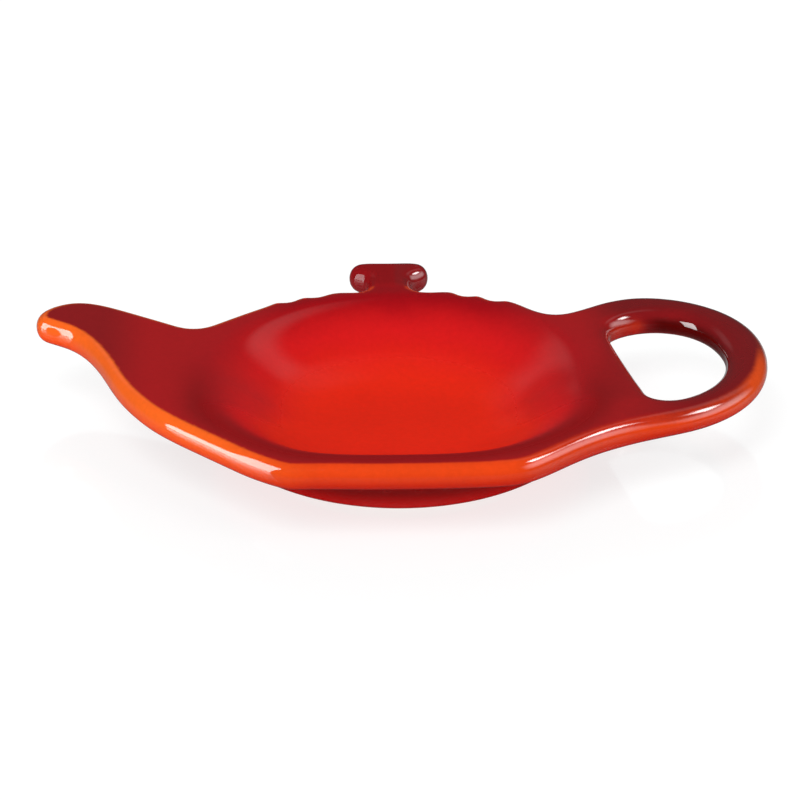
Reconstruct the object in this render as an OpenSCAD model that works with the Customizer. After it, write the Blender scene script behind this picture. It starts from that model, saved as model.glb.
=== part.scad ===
// Tea bag rest: a shallow dished well in a flat rim cut to the outline of a teapot, lying on its side.
// The real thing is one glazed stoneware casting. The solids below are its formed regions, and they
// meet face to face. The origin is the centre of the foot ring on the table, +X points to the handle,
// +Y to the lid knob and +Z up.

/* [Clay] */
// Height of the top of the rim above the table
rim_top = 17.3; // [15:0.1:22]
// Thickness of the rim, the spout and the handle
wall = 6; // [5:0.1:7.5]
// Rounding of the outer edges
edge_r = 2.6; // [1.2:0.1:2.7]

/* [Well] */
// Distance from the middle of the well to the front side of its opening
well_r = 43.6; // [42:0.1:44]
// Radius of the flat middle of the well's floor
floor_r = 9; // [6:0.5:16]
// Height of the well's floor above the table
floor_z = 5.8; // [4.5:0.1:7.5]
// Outer radius of the bowl below the rim
bowl_r = 41.5; // [40:0.5:44]

/* [Foot] */
// Outer radius of the foot ring
foot_r = 29.5; // [28:0.5:33]
// Width of the foot ring
foot_w = 5; // [3:0.1:6]
// Height of the foot ring
foot_h = 2; // [1.2:0.1:3]
// Rounding of the foot ring's lower edges
foot_edge = 0.6; // [0.3:0.1:1]

/* [Teapot outline] */
// Depth of the rim's straight front side beyond the bowl
front_lip = 3.5; // [2.9:0.1:6]
// Width of the straight front side
base_w = 54; // [46:1:60]
// Rounding of the front corners, seen from above
corner_r = 7; // [4:0.5:9]
// Rounding of the dip beside the lid at the handle
dip_r = 6; // [4:0.5:8]

/* [Lid edge] */
// Half the width of the lid
lid_half = 26.6; // [25:0.1:28]
// Depth of the rim's lid edge beyond the bowl, at the knob
lid_lip = 3; // [2.9:0.1:6]
// Distance from one ripple to the next
ripple_pitch = 6.1; // [5.6:0.1:6.4]
// Rise from one ripple to the next
ripple_rise = 2.3; // [1.9:0.1:2.6]
// Rounding of each ripple
ripple_r = 3; // [2.7:0.1:3.2]

/* [Spout] */
// Reach of the spout beyond the body
spout_reach = 32.8; // [28:0.2:38]
// Rise of the spout's tip above the rim
spout_rise = 2.1; // [0:0.1:4]

/* [Handle] */
// Reach of the handle beyond the finger hole's straight side
handle_reach = 30.4; // [26:0.2:36]
// Width of the handle where a finger lifts it
grip_w = 8.4; // [7:0.1:10]

/* [Lid knob] */
// Width of the knob's bar-shaped cap
knob_w = 17; // [15:0.2:18]
// Diameter of the knob's bar-shaped cap
knob_cap = 6.2; // [5:0.1:7]
// Width of the knob's neck
neck_w = 10.4; // [9:0.1:12]
// Distance from the lid edge to the far side of the knob
knob_reach = 15.3; // [13:0.1:18]
// Distance of the knob and the lid to the left of the well's middle
lid_shift = 1.1; // [0:0.1:2]

/* [Hidden] */
// Height of the middle of the rim, the spout and the handle
mid_z = rim_top - wall / 2;
// Height of the underside of the rim
under_z = rim_top - wall;
// Radius of the seam between the wall of the well and the rim
seam_r = bowl_r;
// Clearance between the wall of the well and the rim's faceted inner side
seam_gap = 0.03;
// Largest share of the wall, and of the lips round the well, that an edge's rounding takes
edge_share = 0.45;
lip_share = 0.9;
// Rounding in use, which the wall and the lips limit
edge = min(edge_r, wall * edge_share, front_lip * lip_share, lid_lip * lip_share);
// Steps in a quarter of a rounded edge, degrees per step of a corner, and parts per spline span
edge_steps = 4;
corner_step = 12;
spline_parts = 3;
// Longest step along a straight side
side_step = 3;
// Facets of the round pieces
$fn = 96;

// Unit vector along v
function unit(v) = v / norm(v);
// Direction to the left of direction v, seen from above
function left(v) = [-v[1], v[0]];
// Point that lies a share of the way from a to b
function between(a, b, share) = a + (b - a) * share;
// Plan position of an outline point, whose third value is its rounding
function plan(p) = [p[0], p[1]];
// Smooth step from 0 to 1
function ease(t) = t * t * (3 - 2 * t);

// A column is a plan position on an edge and the direction from there into the clay.
// These are the columns round corner p of an outline that runs from a to b with the clay on its left.
function corner_cut(a, p, b) =
    let (u = unit(plan(p) - plan(a)), v = unit(plan(b) - plan(p)))
    p[2] * tan(acos(u * v) / 2);

function corner_columns(a, p, b) =
    let (
        u = unit(plan(p) - plan(a)),
        v = unit(plan(b) - plan(p)),
        side = cross(u, v) > 0 ? 1 : -1,
        turn = acos(u * v),
        steps = max(1, ceil(turn / corner_step), ceil(p[2] * turn * PI / 180 / side_step)),
        centre = plan(p) - u * corner_cut(a, p, b) + left(u) * side * p[2]
    )
    [for (k = [0 : steps])
        let (
            angle = side * turn * k / steps,
            inward = left([u[0] * cos(angle) - u[1] * sin(angle), u[0] * sin(angle) + u[1] * cos(angle)])
        )
        [centre - inward * side * p[2], inward]
    ];

// Columns along a straight side, without its ends
function side_columns(a, b) =
    let (parts = ceil(norm(b - a) / side_step))
    [for (k = [1 : 1 : parts - 1]) [between(a, b, k / parts), left(unit(b - a))]];

// Columns along an outline of rounded corners, without its two end points
function run_columns(points) =
    let (last = len(points) - 1)
    [for (i = [1 : last])
        let (
            start = i == 1 ? plan(points[0])
                : plan(points[i - 1]) + unit(plan(points[i]) - plan(points[i - 1]))
                * corner_cut(points[i - 2], points[i - 1], points[i]),
            stop = i == last ? plan(points[last])
                : plan(points[i]) - unit(plan(points[i]) - plan(points[i - 1]))
                * corner_cut(points[i - 1], points[i], points[i + 1])
        )
        each concat(
            side_columns(start, stop),
            i == last ? [] : corner_columns(points[i - 1], points[i], points[i + 1])
        )
    ];

// Column at the end p of a flat seat whose other end is q
function seat_end(p, q) = [p, unit(q - p)];
// Columns across a flat seat from p to q, without its ends
function seat_columns(p, q) =
    let (parts = max(2, ceil(norm(q - p) / side_step)))
    [for (k = [1 : 1 : parts - 1]) if (norm(q - p) * min(k, parts - k) / parts > edge)
        [between(p, q, k / parts), [0, 0]]];

// Points down a column with middle height z, half thickness half and edge rounding r
function column_points(column, z, half, r) = [
    for (side = [1, -1]) for (k = [0 : edge_steps])
        let (
            angle = 90 * (side > 0 ? 1 - k / edge_steps : k / edge_steps),
            at = column[0] + column[1] * r * (1 - cos(angle))
        )
        [at[0], at[1], z + side * (half - r + r * sin(angle))]
];

// Smooth curve through points, which starts at the second and stops at the last but one
function spline_point(a, b, c, d, t) =
    let (m = (c - a) / 2, n = (d - b) / 2)
    b * (1 - ease(t)) + c * ease(t) + m * t * (1 - t) * (1 - t) - n * t * t * (1 - t);

function spline(points) = [
    for (i = [1 : len(points) - 3]) for (k = [0 : spline_parts - 1])
        spline_point(points[i - 1], points[i], points[i + 1], points[i + 2], k / spline_parts),
    points[len(points) - 2]
];

// Columns along a curve with the clay on its right, or on its left where side is -1. The first column
// lies on a flat seat towards q, and so does the last where last_q is given.
function curve_columns(points, side, q, last_q = undef) =
    let (last = len(points) - 1)
    [for (i = [0 : last])
        i == 0 ? seat_end(points[0], q)
            : i == last && last_q != undef ? seat_end(points[last], last_q)
            : [points[i], -side * left(unit(points[min(i + 1, last)] - points[i - 1]))]
    ];

// Two triangles of a four-sided patch
function patch(a, b, c, d) = [[a, b, c], [a, c, d]];

// Solid between two rows of columns, closed at both ends by the columns' own points
module strip(rows_a, rows_b) {
    rings = [for (i = [0 : len(rows_a) - 1])
        concat(rows_a[i], [for (k = [len(rows_b[i]) - 1 : -1 : 0]) rows_b[i][k]])];
    count = len(rings[0]);
    last = (len(rings) - 1) * count;
    sides = [for (i = [0 : len(rings) - 2]) for (k = [0 : count - 1])
        each patch(i * count + k, i * count + (k + 1) % count,
            (i + 1) * count + (k + 1) % count, (i + 1) * count + k)];
    ends = [for (k = [0 : count / 2 - 2])
        each concat(
            patch(k + 1, k, count - 1 - k, count - 2 - k),
            patch(last + k, last + k + 1, last + count - 2 - k, last + count - 1 - k)
        )];
    polyhedron([for (ring = rings) each ring], concat(sides, ends));
}

// Solid through a closed row of rings that all have the same number of points
module closed_rings(rings) {
    count = len(rings[0]);
    total = len(rings);
    polyhedron(
        [for (ring = rings) each ring],
        [for (i = [0 : total - 1]) for (k = [0 : count - 1])
            each patch(i * count + k, ((i + 1) % total) * count + k,
                ((i + 1) % total) * count + (k + 1) % count, i * count + (k + 1) % count)]
    );
}

// Point of the rim, lowered on the upper side where the dish of the well reaches out over the seam
function lowered(p) = [p[0], p[1], p[2] - (p[2] > mid_z ? well_dip(norm(plan(p)), atan2(p[1], p[0])) : 0)];

// Steps between the seam and the rounded edge on the rim's upper side
slope_steps = 4;

// Solid ring between the seam round the well and a closed row of columns
module plate(columns, z, half) {
    rings = [for (column = columns)
        let (
            points = column_points(column, z, half, edge),
            inner = unit(plan(points[0])) * (seam_r + seam_gap),
            slope = [for (k = [0 : slope_steps - 1])
                let (p = between(inner, plan(points[0]), k / slope_steps)) [p[0], p[1], z + half]]
        )
        concat([for (p = concat(slope, points)) lowered(p)], [[inner[0], inner[1], z - half]])];
    closed_rings(rings);
}

// Glaze colours: thin over the edges, and thicker and darker on the level faces
glaze_floor = [0.84, 0.12, 0.07];
glaze_wall = [0.72, 0.07, 0.07];
glaze_rim = [0.9, 0.25, 0.08];
glaze_dark = [0.55, 0.07, 0.08];
bare_clay = [0.86, 0.8, 0.7];

// Foot ring

// The foot stands on the bare ground ring, which has small rounded edges
module foot_ring() {
    color(bare_clay) rotate_extrude() difference() {
        translate([foot_r - foot_w, 0]) square([foot_w, foot_h]);
        for (side = [0, 1])
            translate([foot_r - side * foot_w, 0]) mirror([side, 0]) difference() {
                translate([-foot_edge, -foot_edge]) square(foot_edge * 2);
                translate([-foot_edge, foot_edge]) circle(foot_edge);
            }
    }
}

// Well

// The opening has soft straight sides in front and is round behind. These are the directions of its
// straight sides, in degrees, and their distances from the middle as shares of the front one.
well_sides = [270, 223, 311.5, 180, 0];
well_side_shares = [1, 1.09, 1.073, 1.05, 1.01];
// Radius of the round part behind, and what the round part gains in front
well_back_share = 0.977;
well_front_share = 0.18;
// Sharpness of the blend between the sides
well_blend = 12;
// Share of the way to the front over which the round part gains its radius
well_turn_share = 0.7;

// Sum of the values in a list
function sum(list) = list * [for (value = list) 1];
// Distance from the middle to the crest in direction a
function well_edge(a) =
    let (
        turn = ease(min(1, max(0, -sin(a) / well_turn_share))),
        round_r = well_r * (well_back_share + well_front_share * turn),
        sides = [for (i = [0 : len(well_sides) - 1])
            pow(max(0, cos(a - well_sides[i])) / (well_r * well_side_shares[i]), well_blend)]
    )
    pow(sum(sides) + pow(round_r, -well_blend), -1 / well_blend);

// Power that widens the bottom of the dish
cove_share = 1.25;
// Depth of the dish below the rim's top at distance r in direction a, level in the middle and at the crest
function well_dip(r, a) =
    let (t = min(1, max(0, (r - floor_r) / (well_edge(a) - floor_r))))
    (rim_top - floor_z) * (1 - ease(pow(t, cove_share)));

// Power of the bowl's outer curve, where 2 is a quarter of an ellipse
bowl_share = 1.92;
// Height of the bowl-shaped underside at radius r, level at the foot and upright below the rim
function bowl_z(r) =
    let (t = (r - foot_r) / (seam_r - foot_r))
    foot_h + (under_z - foot_h) * (1 - pow(max(0, 1 - pow(t, bowl_share)), 1 / bowl_share));
// Steps along each of the wall's two curves
well_steps = 11;

module well_floor() {
    color(glaze_floor) translate([0, 0, foot_h]) cylinder(h = floor_z - foot_h, r = floor_r);
}

module well_wall() {
    // Radius of the wall's inner corners, which keeps its flat sides off the round floor
    inner_r = floor_r / cos(180 / $fn);
    rings = [for (i = [0 : $fn - 1])
        let (
            a = 360 * i / $fn,
            inside = [for (k = [0 : well_steps])
                let (r = between(inner_r, seam_r, k / well_steps)) [r, rim_top - well_dip(r, a)]],
            outside = [for (k = [well_steps : -1 : 0])
                let (r = foot_r + (seam_r - foot_r) * sin(90 * k / well_steps)) [r, bowl_z(r)]]
        )
        [for (p = concat(inside, outside, [[inner_r, foot_h]])) [p[0] * cos(a), p[0] * sin(a), p[1]]]];
    color(glaze_wall) closed_rings(rings);
}

// Outline of the rim, seen from above, with its seats for the spout, the handle and the knob

// Places on the outline as shares of the seam's radius
spout_seat_share = 1.1;
spout_low_share = -0.62;
spout_high_share = 0.632;
handle_low_out_shares = [1.207, -0.583];
handle_low_in_shares = [1.292, -0.258];
handle_high_in_shares = [1.173, 0.68];
handle_high_out_shares = [1.07, 0.867];
handle_bend_shares = [0.95, -0.695];
hole_low_shares = [1.26, -0.2];
hole_high_shares = [1.094, 0.54];
handle_dip_shares = [0.81, 0.724];
spout_dip_share = -1.046;
// Bulge of the front side beyond the line between its corners
front_crown = 1.4;
// Radius of that bulge
crown_r = 200;
// Rounding of the front corner at the spout, of the bends at the handle and of the dip at the spout
spout_corner_r = 3.6;
handle_bend_r = 45;
hole_low_r = 5;
hole_high_r = 9;
spout_dip_r = 6;
// Rounding of the inner corner below each ripple
ripple_foot_r = 1.4;

front_y = seam_r + front_lip;
corner_y = front_y - front_crown;
seat_y = seam_r + lid_lip;
seat_half = neck_w / 2 + edge_r / 2;
spout_low = [-seam_r * spout_seat_share, seam_r * spout_low_share];
spout_high = [-seam_r * spout_seat_share, seam_r * spout_high_share];
handle_low_out = seam_r * handle_low_out_shares;
handle_low_in = seam_r * handle_low_in_shares;
handle_high_in = seam_r * handle_high_in_shares;
handle_high_out = seam_r * handle_high_out_shares;
knob_right = [seat_half - lid_shift, seat_y];
knob_left = [-seat_half - lid_shift, seat_y];

// Fall along each ripple, and the share of the pitch that is its top
ripple_fall = 0.6;
ripple_share = 0.6;
ripples = 3;
// Ripple points on the side of the lid where side is 1 or -1, from its outer end to the knob
ripple_points = function (side) [
    for (k = [ripples - 1 : -1 : 0])
        let (
            x = lid_half - (ripples - 1 - k) * ripple_pitch,
            y = seat_y - ripple_fall - k * ripple_rise,
            foot = [side * (x - ripple_pitch * ripple_share) - lid_shift, y + ripple_fall, ripple_foot_r]
        )
        each k == 0 ? [[side * x - lid_shift, y, ripple_r]] : [[side * x - lid_shift, y, ripple_r], foot]
];
function reversed(list) = [for (k = [len(list) - 1 : -1 : 0]) list[k]];
function rounded(shares, r) = [seam_r * shares[0], seam_r * shares[1], r];

rim_columns = concat(
    [seat_end(spout_low, spout_high)],
    run_columns([
        spout_low,
        [-base_w / 2, -corner_y, spout_corner_r],
        [0, -front_y - front_crown / 2, crown_r],
        [base_w / 2, -corner_y, corner_r],
        rounded(handle_bend_shares, handle_bend_r),
        handle_low_out
    ]),
    [seat_end(handle_low_out, handle_low_in)],
    seat_columns(handle_low_out, handle_low_in),
    [seat_end(handle_low_in, handle_low_out)],
    run_columns([
        handle_low_in,
        rounded(hole_low_shares, hole_low_r),
        rounded(hole_high_shares, hole_high_r),
        handle_high_in
    ]),
    [seat_end(handle_high_in, handle_high_out)],
    seat_columns(handle_high_in, handle_high_out),
    [seat_end(handle_high_out, handle_high_in)],
    run_columns(concat(
        [handle_high_out, rounded(handle_dip_shares, dip_r)],
        ripple_points(1),
        [knob_right]
    )),
    [seat_end(knob_right, knob_left)],
    seat_columns(knob_right, knob_left),
    [seat_end(knob_left, knob_right)],
    run_columns(concat(
        [knob_left],
        reversed(ripple_points(-1)),
        [[seam_r * spout_dip_share, spout_high[1], spout_dip_r], spout_high]
    )),
    [seat_end(spout_high, spout_low)],
    seat_columns(spout_high, spout_low)
);

module rim() {
    color(glaze_rim) plate(rim_columns, mid_z, wall / 2);
}

// Spout

// Points along the two edges of the spout, from its seat to its tip. Each is a share of the spout's
// reach beyond the seat and a share of the seam's radius.
spout_low_shares = [
    [0.125, -0.495], [0.235, -0.39], [0.35, -0.24], [0.45, -0.075], [0.52, 0.1], [0.585, 0.265],
    [0.675, 0.42], [0.79, 0.525], [0.9, 0.57], [0.985, 0.625]
];
spout_high_shares = [
    [0.06, 0.658], [0.13, 0.698], [0.215, 0.735], [0.31, 0.772], [0.41, 0.81], [0.52, 0.844],
    [0.64, 0.869], [0.76, 0.852], [0.875, 0.794], [0.97, 0.726]
];
// Share of the way to the tip over which the spout's rise gathers
spout_rise_share = 1.4;

function spout_point(shares) = [spout_low[0] - spout_reach * shares[0], seam_r * shares[1]];

module spout() {
    low = [for (shares = spout_low_shares) spout_point(shares)];
    high = [for (shares = spout_high_shares) spout_point(shares)];
    last = len(low) - 1;
    low_curve = spline(concat([2 * spout_low - low[0], spout_low], low, [high[last]]));
    high_curve = spline(concat([2 * spout_high - high[0], spout_high], high, [low[last]]));
    count = len(low_curve) - 1;
    low_columns = curve_columns(low_curve, 1, spout_high);
    high_columns = curve_columns(high_curve, -1, spout_low);
    heights = [for (i = [0 : count]) mid_z + spout_rise * pow(i / count, spout_rise_share)];
    color(glaze_dark) strip(
        [for (i = [0 : count]) column_points(low_columns[i], heights[i], wall / 2, edge)],
        [for (i = [0 : count]) column_points(high_columns[i], heights[i], wall / 2, edge)]
    );
}

// Handle

// Points along the outer edge of the handle from its far seat to its near one, as shares of the reach
// beyond the hole's straight side and of the seam's radius, each with a share of the grip's width
handle_shares = [
    [0.05, 0.94, 1.22], [0.25, 0.966, 1.19], [0.445, 0.92, 1.1], [0.66, 0.822, 1.02], [0.855, 0.672, 0.98],
    [0.98, 0.439, 0.98], [0.993, 0.157, 1.01], [0.891, -0.133, 1.04], [0.685, -0.352, 1.1], [0.38, -0.499, 1.19]
];

module handle() {
    side_x = (hole_low_shares[0] + hole_high_shares[0]) / 2 * seam_r;
    outer = [for (shares = handle_shares) [side_x + handle_reach * shares[0], seam_r * shares[1]]];
    outer_curve = spline(concat([plan(rounded(handle_dip_shares, 0)), handle_high_out], outer,
        [handle_low_out, plan(rounded(handle_bend_shares, 0))]));
    inner = [for (k = [0 : len(outer) - 1])
        let (
            i = (k + 1) * spline_parts,
            inward = -left(unit(outer_curve[i + 1] - outer_curve[i - 1]))
        )
        outer[k] + inward * grip_w * handle_shares[k][2]];
    inner_curve = spline(concat([plan(rounded(hole_high_shares, 0)), handle_high_in], inner,
        [handle_low_in, plan(rounded(hole_low_shares, 0))]));
    outer_columns = curve_columns(outer_curve, 1, handle_high_in, handle_low_in);
    inner_columns = curve_columns(inner_curve, -1, handle_high_out, handle_low_out);
    color(glaze_dark) strip(
        [for (column = outer_columns) column_points(column, mid_z, wall / 2, edge)],
        [for (column = inner_columns) column_points(column, mid_z, wall / 2, edge)]
    );
}

// Lid knob

// The knob's cap is a bar with ball ends, which a flat neck carries on the lid's seat
module lid_knob() {
    ball_r = knob_cap / 2;
    ball_x = knob_w / 2 - ball_r;
    bar_y = seat_y + knob_reach - ball_r;
    round_x = (neck_w - wall) / 2;
    color(glaze_wall) translate([-lid_shift, 0, mid_z]) {
        for (side = [-1, 1]) {
            translate([side * ball_x, bar_y, 0]) sphere(ball_r);
            translate([side * round_x, seat_y, 0]) rotate([-90, 0, 0]) cylinder(h = bar_y - seat_y, d = wall);
        }
        translate([-ball_x, bar_y, 0]) rotate([0, 90, 0]) cylinder(h = ball_x * 2, r = ball_r);
        translate([-round_x, seat_y, -wall / 2]) cube([round_x * 2, bar_y - seat_y, wall]);
    }
}

foot_ring();
well_floor();
well_wall();
rim();
spout();
handle();
lid_knob();
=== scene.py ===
import logging
import math
from dataclasses import dataclass
from enum import Enum
from typing import ClassVar

import bmesh
import bpy
import numpy as np
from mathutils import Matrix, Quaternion, Vector
from mathutils.geometry import delaunay_2d_cdt


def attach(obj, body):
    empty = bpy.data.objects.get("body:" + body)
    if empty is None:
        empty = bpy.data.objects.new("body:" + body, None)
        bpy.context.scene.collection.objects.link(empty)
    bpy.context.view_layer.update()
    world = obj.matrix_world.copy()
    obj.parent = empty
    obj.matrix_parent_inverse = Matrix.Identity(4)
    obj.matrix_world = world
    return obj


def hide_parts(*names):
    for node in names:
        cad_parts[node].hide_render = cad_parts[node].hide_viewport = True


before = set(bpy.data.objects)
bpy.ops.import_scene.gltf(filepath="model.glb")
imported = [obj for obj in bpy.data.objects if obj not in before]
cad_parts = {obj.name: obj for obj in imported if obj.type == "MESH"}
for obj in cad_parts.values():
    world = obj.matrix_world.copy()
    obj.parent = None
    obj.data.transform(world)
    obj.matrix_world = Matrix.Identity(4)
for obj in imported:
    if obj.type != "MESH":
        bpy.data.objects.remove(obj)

log = logging.getLogger("tea_bag_rest")
MM = 0.001
PIECES_BETWEEN_KNOTS = 40
SOFTNESS_LEVELS = np.array([0.3, 1.0, 2.0, 3.0])
POINTS_AT_ONCE = 4000
Colour = tuple[float, float, float]
Span = tuple[float, float]


def srgb(code: str) -> Colour:
    """Gives the linear colour of a six-digit sRGB code.

    Args:
        code: Two hexadecimal digits each for red, green and blue.

    Returns:
        The three linear values.
    """
    shares = [int(code[i:i + 2], 16) / 255 for i in (0, 2, 4)]
    return tuple(v / 12.92 if v <= 0.04045 else ((v + 0.055) / 1.055) ** 2.4 for v in shares)


def ease(low: float, high: float, value: np.ndarray) -> np.ndarray:
    """Gives 3t^2 - 2t^3, where t is the share of the way from low to high, held within 0 and 1.

    Args:
        low: Value where the result is 0.
        high: Value where the result is 1.
        value: The values to ease.

    Returns:
        An array of shares.
    """
    t = np.clip((value - low) / (high - low), 0.0, 1.0)
    return t * t * (3.0 - 2.0 * t)


def fade(low: float, high: float, value: np.ndarray) -> np.ndarray:
    """Gives 1 - ease, which falls from 1 at low to 0 at high."""
    return 1.0 - ease(low, high, value)


class Wire:
    """One output socket of a node tree, on which Python arithmetic adds Math nodes."""

    def __init__(self, graph: "Graph", socket: bpy.types.NodeSocket) -> None:
        """Keeps the graph and the socket."""
        self.graph = graph
        self.socket = socket

    def maths(self, operation: str, *values: "Wire | float") -> "Wire":
        """Adds one Math node.

        Args:
            operation: Blender's name of the operation.
            values: The node's inputs in their order.

        Returns:
            The node's result.
        """
        return self.graph.node("ShaderNodeMath", {"operation": operation}, dict(enumerate(values)))

    def __add__(self, other: "Wire | float") -> "Wire":
        """Gives self + other."""
        return self.maths("ADD", self, other)

    def __radd__(self, other: float) -> "Wire":
        """Gives other + self."""
        return self.maths("ADD", other, self)

    def __sub__(self, other: "Wire | float") -> "Wire":
        """Gives self - other."""
        return self.maths("SUBTRACT", self, other)

    def __rsub__(self, other: float) -> "Wire":
        """Gives other - self."""
        return self.maths("SUBTRACT", other, self)

    def __mul__(self, other: "Wire | float") -> "Wire":
        """Gives self * other."""
        return self.maths("MULTIPLY", self, other)

    def __rmul__(self, other: float) -> "Wire":
        """Gives other * self."""
        return self.maths("MULTIPLY", other, self)

    def held(self) -> "Wire":
        """Gives the value held within 0 and 1."""
        return self.maths("MINIMUM", self.maths("MAXIMUM", self, 0.0), 1.0)

    def eased(self, low: float, high: float) -> "Wire":
        """Gives a smooth step from 0 to 1.

        Args:
            low: Value where the step starts.
            high: Value where it ends.

        Returns:
            The share.
        """
        return self.graph.node("ShaderNodeMapRange", {"interpolation_type": "SMOOTHSTEP"}, {
            "Value": self, "From Min": low, "From Max": high, "To Min": 0.0, "To Max": 1.0,
        })


class Graph:
    """The node tree of a material, a lamp or the world."""

    MIX_FACTOR = 0
    MIX_FIRST = 6
    MIX_SECOND = 7
    MIX_RESULT = 2

    def __init__(self, owner: bpy.types.Material | bpy.types.Light | bpy.types.World) -> None:
        """Empties the owner's node tree.

        Args:
            owner: What the nodes belong to.
        """
        self.owner = owner
        owner.use_nodes = True
        self.tree = owner.node_tree
        self.tree.nodes.clear()

    def node(self, kind: str, settings: dict | None = None, sockets: dict | None = None,
             output: int | str = 0) -> Wire | None:
        """Adds a node of any kind.

        Args:
            kind: Blender's type name of the node.
            settings: Properties to set first.
            sockets: Values or wires by the number or name of the input.
            output: Number or name of the output that is wanted.

        Returns:
            That output, or None where the node has none.
        """
        node = self.tree.nodes.new(kind)
        for key, value in (settings or {}).items():
            setattr(node, key, value)
        for key, value in (sockets or {}).items():
            if isinstance(value, Wire):
                self.tree.links.new(value.socket, node.inputs[key])
            elif isinstance(value, tuple) and node.inputs[key].type == "RGBA":
                node.inputs[key].default_value = (*value, 1.0)
            else:
                node.inputs[key].default_value = value
        return Wire(self, node.outputs[output]) if node.outputs else None

    def blend(self, factor: Wire | float, first: Wire | Colour, second: Wire | Colour) -> Wire:
        """Mixes two colours.

        Args:
            factor: 0 gives the first colour and 1 the second.
            first: The first colour.
            second: The second colour.

        Returns:
            The mixed colour.
        """
        sockets = {self.MIX_FACTOR: factor, self.MIX_FIRST: first, self.MIX_SECOND: second}
        return self.node("ShaderNodeMix", {"data_type": "RGBA"}, sockets, self.MIX_RESULT)

    def noise(self, scale: float, detail: float) -> Wire:
        """Gives noise on the object's own coordinates.

        Args:
            scale: Patches per metre.
            detail: Number of finer layers.

        Returns:
            A value about 0.5.
        """
        place = self.node("ShaderNodeTexCoord", output="Object")
        return self.node("ShaderNodeTexNoise", sockets={"Vector": place, "Scale": scale, "Detail": detail})

    def attribute(self, name: str) -> Wire:
        """Reads a value that the mesh carries at its points."""
        return self.node("ShaderNodeAttribute", {"attribute_name": name}, output="Fac")

    def finish(self, surface: Wire, output: str = "ShaderNodeOutputMaterial") -> bpy.types.ID:
        """Joins the surface to the output.

        Args:
            surface: The shader of the surface.
            output: Blender's type name of the output node.

        Returns:
            The owner of the node tree.
        """
        self.node(output, sockets={0: surface})
        return self.owner


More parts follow.
